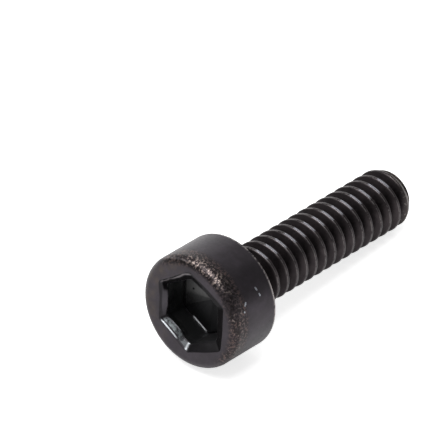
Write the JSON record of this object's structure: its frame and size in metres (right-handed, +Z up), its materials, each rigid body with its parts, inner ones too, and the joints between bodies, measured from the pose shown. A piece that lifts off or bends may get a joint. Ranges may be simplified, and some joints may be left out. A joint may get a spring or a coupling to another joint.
{
  "type": "hex socket cap screw",
  "caption": "Black hex socket cap screw M1.6 x 0.35 x 6, with a plain round head, a deep hexagon socket and a rolled thread up to a short neck.",
  "frame": {"origin": "on the ground under the middle of the lying screw, the bottom centre of its box", "axes": "+Z up; the screw's axis lies in the XZ plane and runs from the head at -X to the tip at +X, sloping down to the tip by 6.9 degrees; +Y is to the left of someone looking from head to tip"},
  "size_m": [0.0078, 0.0028, 0.003],
  "materials": {
    "black_oxide_steel": "satin black oxide, worn to bare metal along the top edge of the head"
  },
  "bodies": {
    "root": {"cap_screw": "black_oxide_steel"}
  },
  "joints": []
}
